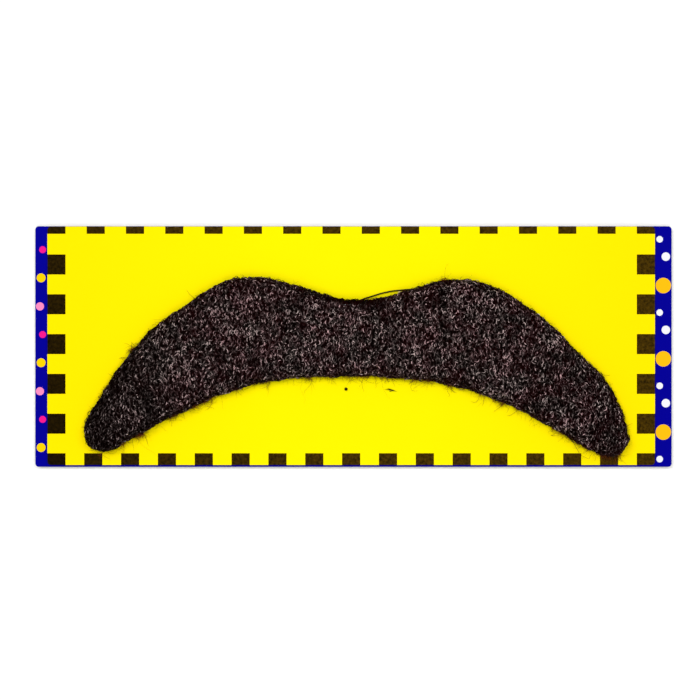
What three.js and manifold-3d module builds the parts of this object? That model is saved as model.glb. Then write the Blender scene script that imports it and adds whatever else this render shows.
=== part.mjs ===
// A fake moustache stapled to its display card, the way it is sold.
// The moustache is one crescent of black pile fabric: a knitted ground with its pile on top, thick in the
// middle and rolled down to the ground all round its cut rim. It lies on a yellow front card, which lies on
// a blue back card that shows beside it, and one wire staple through the middle holds all three together.
// Lengths are millimetres. X runs along the card, Y up the card and Z off its printed face. The origin is
// under the middle of the back card, at the level of the staple's ends, the lowest thing on it.
import * as THREE from "three";
import { mergeVertices } from "three/addons/utils/BufferGeometryUtils.js";
import Module from "manifold-3d";

// The moustache, seen from the front
const SPINE_SPAN = 137.4; // across, from one end of the middle line to the other
const SPINE_RISE = 31.9; // up the card, from the lower end of the middle line to the top of its humps
const WIDEST_HALF_WIDTH = 14; // from the middle line to the rim at the humps
// The moustache, from the side
const GROUND_THICKNESS = 0.8;
const PILE_HEIGHT = 3.4;
const RIM_ROLL = 3.5; // how far in from the rim the pile reaches its full height

// The cards
const CARD_LEFT_OF_MOUSTACHE = 12.8;
const CARD_RIGHT_OF_MOUSTACHE = 11.4;
const CARD_ABOVE_MOUSTACHE = 13.1;
const CARD_BELOW_MOUSTACHE = 2.8;
const CARD_CORNER_RADIUS = 0.9;
const BACK_CARD_SHOWS_LEFT = 3.2;
const BACK_CARD_SHOWS_RIGHT = 4.4;
const BACK_CARD_SHOWS_BELOW = 0.5;
const BACK_CARD_SHOWS_ABOVE = 0.1;
const BACK_CARD_THICKNESS = 0.5;
const FRONT_CARD_THICKNESS = 0.4;

// The staple
const STAPLE_CROWN = 12.7; // outside width
const STAPLE_FOOT = 4.2; // each end, bent inwards behind the card
const STAPLE_WIRE = 0.45;
const STAPLE_WIRE_WIDTH = 0.5;
const STAPLE_BEND_RADIUS = 0.3; // inside the bend
const STAPLE_BELOW_NOTCH = 1.4; // from the rim at the middle notch down to the crown
const PRESSED_THICKNESS = 1.8; // of the fabric under the crown
const DENT_REACH = 1.8; // how far from the crown the pile is still pulled down

const SEAT_GAP = 0.1; // between pieces that lie on each other
const WIRE_GAP = 0.12; // round the staple in what it passes through

// Rows run along the middle line, from the left end to the right one.
// along: share of SPINE_SPAN. rise: share of SPINE_RISE. width: share of WIDEST_HALF_WIDTH.
// At the first and last row the rounding of the tip takes the width to nothing.
const SPINE = [
  { along: 0.0, rise: 0.055, width: 0.28 },
  { along: 0.025, rise: 0.175, width: 0.4 },
  { along: 0.071, rise: 0.383, width: 0.575 },
  { along: 0.135, rise: 0.622, width: 0.768 },
  { along: 0.212, rise: 0.832, width: 0.89 },
  { along: 0.3, rise: 1.0, width: 1.0 },
  { along: 0.398, rise: 0.978, width: 0.835 },
  { along: 0.5, rise: 0.937, width: 0.71 },
  { along: 0.6, rise: 0.961, width: 0.815 },
  { along: 0.697, rise: 0.982, width: 0.99 },
  { along: 0.79, rise: 0.825, width: 0.92 },
  { along: 0.87, rise: 0.588, width: 0.76 },
  { along: 0.934, rise: 0.357, width: 0.628 },
  { along: 0.975, rise: 0.15, width: 0.435 },
  { along: 1.0, rise: 0.0, width: 0.285 },
];
const NOTCH_ROW = 7;
const SECTIONS_PER_ROW = 6;
const STEPS_ACROSS = 14;
const ARC_STEPS = 6;

const wasm = await Module();
wasm.setup();

const throughPoints = (points) => new THREE.CatmullRomCurve3(points, false, "catmullrom");
const lastRow = SPINE.length - 1;

// The middle line as a curve whose third coordinate is the half-width there
const spineCurve = throughPoints(
  SPINE.map(
    (row) => new THREE.Vector3(row.along * SPINE_SPAN, row.rise * SPINE_RISE, row.width * WIDEST_HALF_WIDTH),
  ),
);

// The direction along the middle line, smoothed from row to row so that no two sections cross at a hump
const headingCurve = throughPoints(SPINE.map((_, row) => spineCurve.getTangent(row / lastRow)));

// The place, the direction across and the half-width of the moustache at a row number, whole or not.
// A tip is round: over its last row, as intoTip goes from 0 to 1, the width falls as a quarter circle does.
function sectionAt(row) {
  const share = row / lastRow;
  const middle = spineCurve.getPoint(share);
  const ahead = headingCurve.getPoint(share);
  const intoTip = 1 - Math.min(row, lastRow - row, 1);
  return {
    middle: new THREE.Vector2(middle.x, middle.y),
    across: new THREE.Vector2(-ahead.y, ahead.x).normalize(),
    bodyHalfWidth: middle.z,
    intoTip,
    halfWidth: middle.z * Math.sqrt(1 - intoTip ** 2),
  };
}

// A point of the moustache seen from the front: side is -1 at the lower rim and 1 at the upper one
function pointAcross(section, side) {
  return section.middle.clone().addScaledVector(section.across, side * section.halfWidth);
}

// How far that point lies in from the rim, where a tip's rim is half a circle round its last row
function distanceFromRim(section, side) {
  const outwards = Math.hypot(section.intoTip, side * Math.sqrt(1 - section.intoTip ** 2));
  return section.bodyHalfWidth * (1 - outwards);
}

// Row numbers of the sections, closer together towards the tips so that they come out round
function sectionRows() {
  const rows = [];
  for (let step = 1; step <= SECTIONS_PER_ROW; step++) {
    rows.push(1 - Math.cos((step / SECTIONS_PER_ROW) * (Math.PI / 2)));
  }
  for (let step = SECTIONS_PER_ROW + 1; step < (lastRow - 1) * SECTIONS_PER_ROW; step++) {
    rows.push(step / SECTIONS_PER_ROW);
  }
  for (let step = SECTIONS_PER_ROW; step >= 1; step--) {
    rows.push(lastRow - 1 + Math.cos((step / SECTIONS_PER_ROW) * (Math.PI / 2)));
  }
  return rows;
}

const sections = sectionRows().map(sectionAt);
const moustacheReach = new THREE.Box2().setFromPoints(
  sections.flatMap((section) => [pointAcross(section, -1), pointAcross(section, 1)]),
);

// Sizes of the cards, and where the moustache lies on them
const moustacheSize = moustacheReach.getSize(new THREE.Vector2());
const cardWidth = CARD_LEFT_OF_MOUSTACHE + moustacheSize.x + CARD_RIGHT_OF_MOUSTACHE;
const cardHeight = CARD_BELOW_MOUSTACHE + moustacheSize.y + CARD_ABOVE_MOUSTACHE;
const toCard = new THREE.Vector2(
  CARD_LEFT_OF_MOUSTACHE - cardWidth / 2 - moustacheReach.min.x,
  CARD_BELOW_MOUSTACHE - cardHeight / 2 - moustacheReach.min.y,
);

// Levels, from the staple's bent ends up
const backCardBottom = STAPLE_WIRE + SEAT_GAP;
const backCardTop = backCardBottom + BACK_CARD_THICKNESS;
const frontCardBottom = backCardTop + SEAT_GAP;
const frontCardTop = frontCardBottom + FRONT_CARD_THICKNESS;
const moustacheBottom = frontCardTop + SEAT_GAP;
const stapleTop = moustacheBottom + PRESSED_THICKNESS + STAPLE_WIRE;

// The staple lies level across the notch between the humps
const notch = pointAcross(sectionAt(NOTCH_ROW), 1).add(toCard);
const stapleCentre = new THREE.Vector2(notch.x, notch.y - STAPLE_BELOW_NOTCH);

// A three.js geometry as a manifold-3d solid
function solidOf(geometry) {
  const bare = geometry.clone();
  bare.deleteAttribute("normal");
  bare.deleteAttribute("uv");
  const merged = mergeVertices(bare, 1e-4);
  return new wasm.Manifold(
    new wasm.Mesh({
      numProp: 3,
      vertProperties: merged.attributes.position.array,
      triVerts: new Uint32Array(merged.index.array),
    }),
  );
}

// A manifold-3d solid as a three.js geometry with flat faces
function geometryOf(solid) {
  const mesh = solid.getMesh();
  const indexed = new THREE.BufferGeometry();
  indexed.setAttribute("position", new THREE.BufferAttribute(mesh.vertProperties, mesh.numProp));
  indexed.setIndex(new THREE.BufferAttribute(mesh.triVerts, 1));
  const geometry = indexed.toNonIndexed();
  geometry.computeVertexNormals();
  return geometry;
}

// A box from one corner to the opposite one
function boxBetween(low, high) {
  const size = new THREE.Vector3().subVectors(high, low);
  const centre = new THREE.Vector3().addVectors(low, high).multiplyScalar(0.5);
  return new THREE.BoxGeometry(size.x, size.y, size.z).translate(centre.x, centre.y, centre.z);
}

// The room that the staple takes in what it passes through: a slot for the crown, open upwards,
// and one for each leg
function stapleRoom() {
  const top = moustacheBottom + GROUND_THICKNESS + PILE_HEIGHT + 1;
  const crownBottom = stapleTop - STAPLE_WIRE - WIRE_GAP;
  const halfSlot = STAPLE_WIRE_WIDTH / 2 + WIRE_GAP;
  const outside = STAPLE_CROWN / 2 + WIRE_GAP;
  const legInside = STAPLE_CROWN / 2 - STAPLE_WIRE - WIRE_GAP;
  const slot = (x0, x1, bottom) =>
    solidOf(
      boxBetween(
        new THREE.Vector3(stapleCentre.x + x0, stapleCentre.y - halfSlot, bottom),
        new THREE.Vector3(stapleCentre.x + x1, stapleCentre.y + halfSlot, top),
      ),
    );
  return slot(-outside, outside, crownBottom)
    .add(slot(-outside, -legInside, 0))
    .add(slot(legInside, outside, 0));
}

// How far a point lies from the staple's crown, seen from the front
function distanceToCrown(point) {
  const beyondEnd = Math.max(0, Math.abs(point.x - stapleCentre.x) - STAPLE_CROWN / 2);
  return Math.hypot(beyondEnd, point.y - stapleCentre.y);
}

// Height of the pile's surface over the card. From the rim in it climbs as a quarter of an ellipse does,
// and near the crown it is pulled down to the crown's top.
function surfaceHeight(point, fromRim) {
  const climb = Math.sqrt(1 - (1 - Math.min(fromRim / RIM_ROLL, 1)) ** 2);
  const free = moustacheBottom + GROUND_THICKNESS + PILE_HEIGHT * climb;
  const pull = Math.exp(-((distanceToCrown(point) / DENT_REACH) ** 2));
  return free - Math.max(0, free - stapleTop) * pull;
}

// One closed ring round the moustache's section: over the pile from the lower rim to the upper one,
// then back along the flat underside
function sectionRing(section) {
  const ring = [];
  for (let step = 0; step <= STEPS_ACROSS; step++) {
    const side = -Math.cos((step / STEPS_ACROSS) * Math.PI);
    const point = pointAcross(section, side).add(toCard);
    const height = surfaceHeight(point, distanceFromRim(section, side));
    ring.push(new THREE.Vector3(point.x, point.y, height));
  }
  for (const side of [1, -1]) {
    const point = pointAcross(section, side).add(toCard);
    ring.push(new THREE.Vector3(point.x, point.y, moustacheBottom));
  }
  return ring;
}

// A closed body through rings of equally many points, each end closed on one point
function loft(rings, startPole, endPole) {
  const points = [startPole, ...rings.flat(), endPole];
  const count = rings[0].length;
  const faces = [];
  for (let i = 0; i < count; i++) {
    const next = (i + 1) % count;
    faces.push(0, 1 + i, 1 + next);
    for (let ring = 0; ring + 1 < rings.length; ring++) {
      const here = 1 + ring * count;
      const there = here + count;
      faces.push(here + i, there + i, here + next);
      faces.push(here + next, there + i, there + next);
    }
    const last = 1 + (rings.length - 1) * count;
    faces.push(last + next, last + i, points.length - 1);
  }
  const geometry = new THREE.BufferGeometry().setFromPoints(points);
  geometry.setIndex(faces);
  return geometry;
}

// The moustache's whole body before the staple goes in
function moustacheBody() {
  const pole = (row) => {
    const end = sectionAt(row).middle.clone().add(toCard);
    return new THREE.Vector3(end.x, end.y, moustacheBottom + GROUND_THICKNESS / 2);
  };
  return loft(sections.map(sectionRing), pole(0), pole(lastRow));
}

// A card with round corners, between two corners of its front and two levels
function card(low, high, bottom, top) {
  const outline = new THREE.Shape();
  const r = CARD_CORNER_RADIUS;
  outline.moveTo(low.x + r, low.y);
  outline.lineTo(high.x - r, low.y);
  outline.absarc(high.x - r, low.y + r, r, -Math.PI / 2, 0, false);
  outline.lineTo(high.x, high.y - r);
  outline.absarc(high.x - r, high.y - r, r, 0, Math.PI / 2, false);
  outline.lineTo(low.x + r, high.y);
  outline.absarc(low.x + r, high.y - r, r, Math.PI / 2, Math.PI, false);
  outline.lineTo(low.x, low.y + r);
  outline.absarc(low.x + r, low.y + r, r, Math.PI, 1.5 * Math.PI, false);
  const geometry = new THREE.ExtrudeGeometry(outline, {
    depth: top - bottom,
    bevelEnabled: false,
    curveSegments: ARC_STEPS,
  });
  return geometry.translate(0, 0, bottom);
}

function backCardBody() {
  const corner = new THREE.Vector2(cardWidth / 2, cardHeight / 2);
  return card(corner.clone().negate(), corner, backCardBottom, backCardTop);
}

function frontCardBody() {
  const corner = new THREE.Vector2(cardWidth / 2, cardHeight / 2);
  const low = corner.clone().negate().add(new THREE.Vector2(BACK_CARD_SHOWS_LEFT, BACK_CARD_SHOWS_BELOW));
  const high = corner.clone().sub(new THREE.Vector2(BACK_CARD_SHOWS_RIGHT, BACK_CARD_SHOWS_ABOVE));
  return card(low, high, frontCardBottom, frontCardTop);
}

// The staple, closed: flat wire with its legs down through the moustache and the cards and their ends bent
// inwards behind them. Its outline is drawn in X and Z and given the wire's width along Y.
function staple() {
  const inner = STAPLE_BEND_RADIUS;
  const outer = inner + STAPLE_WIRE;
  const x = STAPLE_CROWN / 2 - outer; // of the bends' centres
  const low = outer;
  const high = stapleTop - outer;
  const footEnd = STAPLE_CROWN / 2 - STAPLE_FOOT;
  const quarter = Math.PI / 2;
  const outline = new THREE.Shape();
  outline.moveTo(-footEnd, 0);
  outline.lineTo(-x, 0);
  outline.absarc(-x, low, outer, -quarter, -2 * quarter, true);
  outline.absarc(-x, high, outer, 2 * quarter, quarter, true);
  outline.absarc(x, high, outer, quarter, 0, true);
  outline.absarc(x, low, outer, 0, -quarter, true);
  outline.lineTo(footEnd, 0);
  outline.lineTo(footEnd, STAPLE_WIRE);
  outline.absarc(x, low, inner, -quarter, 0, false);
  outline.absarc(x, high, inner, 0, quarter, false);
  outline.absarc(-x, high, inner, quarter, 2 * quarter, false);
  outline.absarc(-x, low, inner, 2 * quarter, 3 * quarter, false);
  outline.lineTo(-footEnd, STAPLE_WIRE);
  const geometry = new THREE.ExtrudeGeometry(outline, {
    depth: STAPLE_WIRE_WIDTH,
    bevelEnabled: false,
    curveSegments: ARC_STEPS,
  });
  geometry.rotateX(quarter);
  return geometry.translate(stapleCentre.x, stapleCentre.y + STAPLE_WIRE_WIDTH / 2, 0);
}

function piece(name, geometry, color, roughness, metalness) {
  const mesh = new THREE.Mesh(geometry, new THREE.MeshStandardMaterial({ color, roughness, metalness }));
  mesh.name = name;
  return mesh;
}

const room = stapleRoom();
const stapled = (geometry) => geometryOf(solidOf(geometry).subtract(room));

const cardedMoustache = new THREE.Group();
cardedMoustache.name = "carded_moustache";
cardedMoustache.add(
  piece("back_card", stapled(backCardBody()), 0x1b10a8, 0.45, 0),
  piece("front_card", stapled(frontCardBody()), 0xffee00, 0.45, 0),
  piece("moustache", stapled(moustacheBody()), 0x231a19, 0.85, 0),
  piece("staple", staple(), 0xb9bcc0, 0.35, 1),
);

export default cardedMoustache;
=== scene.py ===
"""Dresses a fake moustache that is stapled to its display card.

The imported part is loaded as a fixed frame. Both cards and the staple keep their solids and get their print,
board and metal. The moustache's solid gives way to a dark ground body with curled pile all over it, loose
fibres round its rim, one stray thread at its notch and two specks of lint on the card below it.
Lengths are metres on the frame's axes: X along the card, Y up the card, Z off its printed face.
"""

import math

import bpy
import numpy as np
from bpy.props import FloatProperty, FloatVectorProperty, IntProperty, PointerProperty
from bpy.types import Operator, Panel, PropertyGroup
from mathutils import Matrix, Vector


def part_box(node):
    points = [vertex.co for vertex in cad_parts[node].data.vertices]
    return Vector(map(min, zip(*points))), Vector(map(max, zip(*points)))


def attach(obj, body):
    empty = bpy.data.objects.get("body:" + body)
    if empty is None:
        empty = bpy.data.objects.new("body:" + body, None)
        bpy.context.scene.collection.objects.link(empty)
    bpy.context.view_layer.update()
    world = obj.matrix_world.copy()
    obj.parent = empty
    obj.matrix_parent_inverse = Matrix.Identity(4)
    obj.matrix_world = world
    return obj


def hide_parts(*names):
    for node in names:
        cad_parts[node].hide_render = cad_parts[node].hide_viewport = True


bl_info = {
    "name": "Carded Moustache",
    "version": (1, 0, 0),
    "blender": (4, 5, 0),
    "location": "3D View > Sidebar > Moustache",
    "description": "Builds the curled pile, the printed cards and the stage of a fake moustache on its card",
    "category": "Add Mesh",
}

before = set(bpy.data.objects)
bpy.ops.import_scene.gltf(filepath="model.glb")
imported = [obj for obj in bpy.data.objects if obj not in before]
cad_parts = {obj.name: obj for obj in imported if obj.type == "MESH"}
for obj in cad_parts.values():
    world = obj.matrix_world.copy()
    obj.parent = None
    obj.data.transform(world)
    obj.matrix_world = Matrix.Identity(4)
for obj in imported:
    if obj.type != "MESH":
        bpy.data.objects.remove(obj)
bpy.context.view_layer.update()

MM = 0.001
UP = np.array([0.0, 0.0, 1.0])
MOUSTACHE_LOW, MOUSTACHE_HIGH = np.array(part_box("moustache"))
STAPLE_LOW, STAPLE_HIGH = np.array(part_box("staple"))
STAPLE_MIDDLE = (STAPLE_LOW + STAPLE_HIGH) / 2
FRONT_LOW, FRONT_HIGH = np.array(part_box("front_card"))
BACK_LOW, BACK_HIGH = np.array(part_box("back_card"))

# Rows run along the moustache's middle line from the left end to the right one, as in its solid.
# Columns: share of the span, share of the rise, share of the widest half-width.
SPINE = np.array(
    [
        (0.0, 0.055, 0.28),
        (0.025, 0.175, 0.4),
        (0.071, 0.383, 0.575),
        (0.135, 0.622, 0.768),
        (0.212, 0.832, 0.89),
        (0.3, 1.0, 1.0),
        (0.398, 0.978, 0.835),
        (0.5, 0.937, 0.71),
        (0.6, 0.961, 0.815),
        (0.697, 0.982, 0.99),
        (0.79, 0.825, 0.92),
        (0.87, 0.588, 0.76),
        (0.934, 0.357, 0.628),
        (0.975, 0.15, 0.435),
        (1.0, 0.0, 0.285),
    ]
)
LAST_ROW = len(SPINE) - 1

# The pile is made in these stretches, each up to the share of the moustache's width that stands beside it
PILE_STRETCHES = (
    ("left_end", 0.21),
    ("left_hump", 0.4),
    ("middle", 0.61),
    ("right_hump", 0.8),
    ("right_end", 1.0),
)


def length_property(name, description, default):
    """A length that a user may change."""
    return FloatProperty(name=name, description=description, default=default, unit="LENGTH")


def colour_property(name, description, default):
    """A colour that a user may change."""
    return FloatVectorProperty(name=name, description=description, default=default, subtype="COLOR", size=3)


class MoustacheForm(PropertyGroup):
    """Sizes of the moustache's body."""

    spine_span: length_property("Span", "Across, from one end of the middle line to the other", 137.4 * MM)
    spine_rise: length_property("Rise", "From the lower end of the middle line up to its humps", 31.9 * MM)
    widest_half_width: length_property(
        "Widest Half-Width", "From the middle line to the rim at the humps", 14.0 * MM
    )
    ground_thickness: length_property("Ground Thickness", "Height of the cut rim", 0.8 * MM)
    pile_height: length_property("Pile Height", "From the ground to the top of the pile", 3.4 * MM)
    rim_roll: length_property(
        "Rim Roll", "How far in from the rim the pile reaches its full height", 3.5 * MM
    )
    dent_reach: length_property(
        "Dent Reach", "How far from the staple the pile is still pulled down", 1.8 * MM
    )
    curl_depth: length_property(
        "Curl Depth", "How deep under the outer form the dark ground body lies", 0.5 * MM
    )
    lump_height: length_property("Lump Height", "How far the pile's surface swells and sinks", 0.18 * MM)
    lump_width: length_property("Lump Width", "Distance from one swelling of the pile to the next", 4.8 * MM)


class PileCurls(PropertyGroup):
    """Sizes and colours of the curled pile."""

    # The loops look glossy mostly through painted highlights in their colours, as their specular level is
    # low.
    loop_count: IntProperty(
        name="Loops", description="Number of glossy loops on top of the pile", default=16000
    )
    loop_size: length_property("Loop Size", "Radius that a loop is bent to", 0.34 * MM)
    loop_radius: length_property("Loop Strand", "Radius of a loop's strand", 0.084 * MM)
    deep_count: IntProperty(
        name="Deep Curls", description="Number of dull curls under the loops", default=20000
    )
    half_span: length_property("Half Span", "From a deep curl's root to each of its feet", 0.45 * MM)
    reach: length_property("Reach", "From a deep curl's root to its crown", 0.55 * MM)
    deep_radius: length_property("Deep Strand", "Radius of a deep curl's strand", 0.08 * MM)
    dark: colour_property("Dark", "Colour of the dullest strands", (0.0034, 0.0009, 0.0006))
    dark_blush: colour_property(
        "Dark Blush", "Colour that the dullest strands take on in patches", (0.0135, 0.0003, 0.0004)
    )
    # Painted highlight: the light and blush colours stand in for the glints of the shiniest strands.
    light: colour_property("Light", "Colour of the shiniest strands", (0.76, 0.6, 0.57))
    blush: colour_property("Blush", "Colour that the shiniest strands take on in patches", (0.82, 0.51, 0.53))
    ground: colour_property("Ground", "Colour between the curls", (0.0025, 0.0006, 0.0005))
    seed: IntProperty(name="Seed", description="Of the random draws", default=7)


class LooseFibres(PropertyGroup):
    """Sizes of the fibres round the rim, the stray thread and the lint."""

    count: IntProperty(name="Fibres", description="Number of loose fibres round the rim", default=3900)
    length: length_property("Length", "Of a usual fibre", 1.2 * MM)
    radius: length_property("Radius", "Of a fibre", 0.028 * MM)
    thread_radius: length_property("Thread Radius", "Of the stray thread", 0.17 * MM)
    root: colour_property(
        "Root", "Colour of a loose fibre at the rim, of the thread and of the lint", (0.012, 0.003, 0.001)
    )
    # Painted backlight: the tip's brown stands in for light through the thin fibres against the bright card;
    # the real fibres are black.
    tip: colour_property("Tip", "Colour of a loose fibre well out from the rim", (0.24, 0.05, 0.007))
    seed: IntProperty(name="Seed", description="Of the random draws", default=11)


class CardPrint(PropertyGroup):
    """Sizes and colours of what is printed on the cards, and of the painted shade towards the front card's
    ends.
    """

    square_width: length_property("Square Width", "Of the border's squares", 4.7 * MM)
    side_square_height: length_property("Side Square Height", "Of the squares at both ends", 5.2 * MM)
    top_row_height: length_property("Top Row", "What shows of the top row's squares", 1.9 * MM)
    bottom_row_height: length_property("Bottom Row", "What shows of the bottom row's squares", 3.05 * MM)
    yellow: colour_property("Yellow", "Of the front card", (1.0, 0.87, 0.0))
    # Painted shade: the yellow that the card takes on towards its ends, where less light falls.
    end_shaded_yellow: colour_property("Golden", "Of the front card towards its ends", (1.0, 0.785, 0.0))
    squares: colour_property("Squares", "Of the border", (0.045, 0.0235, 0.001))
    blue: colour_property("Blue", "Of the back card", (0.001, 0.0003, 0.3))
    board: colour_property("Board", "Of the bare board at the edges and behind", (0.62, 0.58, 0.5))


class StageSettings(PropertyGroup):
    """Floor, lights and camera."""

    view_width: length_property("View Width", "What the picture takes in across, at the card", 181.3 * MM)
    lens: FloatProperty(name="Lens", description="Focal length in millimetres", default=100.0)
    aim_x: length_property("Aim X", "Middle of the picture beside the card's middle", -0.9 * MM)
    aim_y: length_property("Aim Y", "Middle of the picture above the card's middle", -0.9 * MM)
    key_power: FloatProperty(name="Key Power", description="Of the main light, in watts", default=14.0)
    fill_power: FloatProperty(name="Fill Power", description="Of each other light, in watts", default=8.5)
    sky: FloatProperty(name="Sky", description="Strength of the light from all round", default=0.42)
    floor: colour_property("Floor", "Colour of the floor", (0.95, 0.95, 0.95))


def unit(vectors):
    """Each vector divided by its length."""
    return vectors / np.maximum(np.linalg.norm(vectors, axis=-1, keepdims=True), 1e-12)


def turned_left(directions):
    """Each direction in plan turned by a quarter turn, anticlockwise."""
    return np.stack([-directions[..., 1], directions[..., 0]], -1)


def bell(distance, reach):
    """A bell curve: the exponential of minus the square of the distance over the reach."""
    return np.exp(-((distance / reach) ** 2))


def through_points(points, rows):
    """Points and slopes, at row numbers that needn't be whole, of the smooth curve through the given points.

    From one row to the next it is the cubic whose slope at each end is half the step from the row before to
    the row after. Past both ends the next point lies as far on as the last step.
    """
    points = np.vstack([2 * points[0] - points[1], points, 2 * points[-1] - points[-2]])
    row = np.clip(rows.astype(int), 0, len(points) - 4)
    share = (rows - row)[..., None]
    before, start, end, after = (points[row + step] for step in range(4))
    start_slope = (end - before) / 2
    end_slope = (after - start) / 2
    square = 3 * (end - start) - 2 * start_slope - end_slope
    cube = 2 * (start - end) + start_slope + end_slope
    place = start + share * (start_slope + share * (square + share * cube))
    return place, start_slope + share * (2 * square + 3 * share * cube)


# Waves of the hand-cut rim. Columns: millimetres outwards, radians for each row, radians that the upper rim's
# wave is ahead by and the lower rim's behind, and radians that both are ahead by.
RIM_WAVES = (
    (0.13, 5.3, 2.1, 0.0),
    (0.09, 12.1, -2.1, 1.0),
    (0.05, 24.7, 6.3, 0.0),
)

# Where the upper rim bulges out or is cut in, the last three being the small corner near the right tip.
# Columns: row number, millimetres outwards, and the rows until a bulge has fallen to about a third.
RIM_BULGES = (
    (2.1, -0.4, 0.9),
    (3.7, 0.2, 0.5),
    (5.6, 0.3, 0.5),
    (8.5, 0.45, 0.6),
    (10.5, -0.4, 0.8),
    (13.15, -0.45, 0.35),
    (13.66, 1.1, 0.2),
    (13.93, -1.6, 0.12),
)
# Millimetres that all of the upper rim lies further out
UPPER_RIM_OUTWARDS = -0.06


def rim_waves(rows, side):
    """How far the hand-cut rim strays outwards: three sine waves along each side, of 14, 6 and 3 mm or so.

    On the upper side a bell curve of the row number is added for each bulge, and a small length everywhere.
    """
    ahead = np.sign(side)
    waves = sum(out * np.sin(turn * rows + shift * ahead + start) for out, turn, shift, start in RIM_WAVES)
    bulges = sum(out * bell(rows - row, reach) for row, out, reach in RIM_BULGES)
    return (waves + (bulges + UPPER_RIM_OUTWARDS) * (side > 0)) * MM


def moustache_plan(rows, side, form, inset=0.0, waves=0.0):
    """X and Y of points of the moustache, and how far each lies in from the rim.

    A point is the middle line's plus side times the half-width across it, where side runs from -1 at the
    lower rim to 1 at the upper one. Over the last row at each end the half-width falls away as a quarter
    circle does. The form is inset by the given length, at the tips too, and widened by the rim's waves.
    """
    table = SPINE * (form.spine_span, form.spine_rise, form.widest_half_width)
    steps = np.linalg.norm(np.diff(table[:, :2], axis=0), axis=1)
    middle, _ = through_points(table, rows)
    _, slopes = through_points(table, np.arange(LAST_ROW + 1.0))
    ahead, _ = through_points(unit(slopes), rows)
    across = unit(turned_left(ahead))
    left, right = inset / steps[0], inset / steps[-1]
    from_end = np.minimum((rows - left) / (1 - left), (LAST_ROW - right - rows) / (1 - right))
    into_tip = 1 - np.clip(from_end, 0, 1)
    taper = np.sqrt(1 - into_tip**2)
    body_half_width = middle[..., 2] - inset + waves * rim_waves(rows, side)
    plan = middle[..., :2] + across * (side * body_half_width * taper)[..., None]
    from_rim = body_half_width * (1 - np.hypot(into_tip, side * taper))
    return plan, from_rim


def moustache_offset(form):
    """From the middle line's own origin to the moustache's place: from the middle of its rim to the solid's.

    A form that no longer has the solid's size raises an error.
    """
    tolerance = 0.3 * MM
    rows = np.linspace(0, LAST_ROW, 4001)
    rim = np.concatenate([moustache_plan(rows, side, form)[0] for side in (-1.0, 1.0)])
    size = rim.max(0) - rim.min(0)
    solid = (MOUSTACHE_HIGH - MOUSTACHE_LOW)[:2]
    if np.abs(size - solid).max() > tolerance:
        raise RuntimeError(f"the moustache's form is {size} and its solid {solid}: the sizes differ")
    return (MOUSTACHE_LOW[:2] + MOUSTACHE_HIGH[:2]) / 2 - (rim.min(0) + rim.max(0)) / 2


def from_crown(plan):
    """Distance in plan to the line of the staple's crown."""
    half_crown = (STAPLE_HIGH[0] - STAPLE_LOW[0]) / 2
    past_end = np.maximum(0, np.abs(plan[..., 0] - STAPLE_MIDDLE[0]) - half_crown)
    return np.hypot(past_end, plan[..., 1] - STAPLE_MIDDLE[1])


def outer_height(plan, from_rim, form):
    """Height of the pile's outer form above the floor.

    From the rim in it climbs as a quarter of an ellipse does. Near the staple's crown it is pulled down to
    the crown's top, by a bell curve of the distance to the crown.
    """
    climb = np.sqrt(1 - (1 - np.clip(from_rim / form.rim_roll, 0, 1)) ** 2)
    free = MOUSTACHE_LOW[2] + form.ground_thickness + form.pile_height * climb
    return free - np.maximum(0, free - STAPLE_HIGH[2]) * bell(from_crown(plan), form.dent_reach)


def lumps(plan, width, seed):
    """A smooth field, mostly between -1 and 1: sine waves in random directions, over their number's root."""
    rng = np.random.default_rng(seed)
    count = 12
    turn = rng.uniform(0, 2 * math.pi, count)
    phase = rng.uniform(0, 2 * math.pi, count)
    length = width * rng.uniform(0.75, 1.6, count)
    waves = 2 * math.pi / length * np.stack([np.cos(turn), np.sin(turn)])
    return np.sin(plan @ waves + phase).sum(-1) / math.sqrt(count)


def ground_grid(form, rows_per_step=26, columns=44, wall_columns=3):
    """Grid of points of the dark ground body, with their outward directions and distances from the rim.

    Rows go along the moustache, with a sine's and cosine's spacing over the last step to each tip. Columns go
    up the lower cut rim, over the pile from the lower side to the upper one with a cosine's spacing, and down
    the upper cut rim. The body is the outer form, less the curls' depth at the rim and on top, and swells and
    sinks with the lumps. It never lies lower than its rim, which is a little lower than the cut rim.
    """
    depth = form.curl_depth
    rim_share = 0.3
    first_share = 0.04
    table = SPINE[:, :2] * (form.spine_span, form.spine_rise)
    first = depth / np.linalg.norm(table[1] - table[0])
    last = LAST_ROW - depth / np.linalg.norm(table[-1] - table[-2])
    quarter = np.linspace(first_share, 1, rows_per_step) * math.pi / 2
    rows = np.concatenate(
        [
            1 - (1 - first) * np.cos(quarter),
            np.linspace(1, LAST_ROW - 1, (LAST_ROW - 2) * rows_per_step + 1)[1:-1],
            LAST_ROW - 1 + (last - LAST_ROW + 1) * np.cos(quarter[::-1]),
        ]
    )
    wall = np.linspace(0, 1, wall_columns + 1)[:-1]
    over = -np.cos(np.linspace(0, math.pi, columns + 1))
    side = np.concatenate([-np.ones(wall_columns), over, np.ones(wall_columns)])
    share = np.concatenate([wall, np.ones(columns + 1), wall[::-1]])
    rows, side = np.meshgrid(rows, side, indexing="ij")
    plan, from_rim = moustache_plan(rows, side, form, inset=depth, waves=1.0)
    plan = plan + moustache_offset(form)
    top = outer_height(plan, from_rim, form) - depth
    rolled = np.clip(from_rim / form.rim_roll, 0, 1)
    top = top + lumps(plan, form.lump_width, seed=3) * form.lump_height * rolled
    foot = MOUSTACHE_LOW[2]
    rim_top = foot + form.ground_thickness - rim_share * depth
    height = foot + (np.maximum(top, rim_top) - foot) * share
    points = np.concatenate([plan, height[..., None]], -1)
    outward = unit(np.cross(np.gradient(points, axis=0), np.gradient(points, axis=1)))
    return points, outward, from_rim[..., None]


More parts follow.
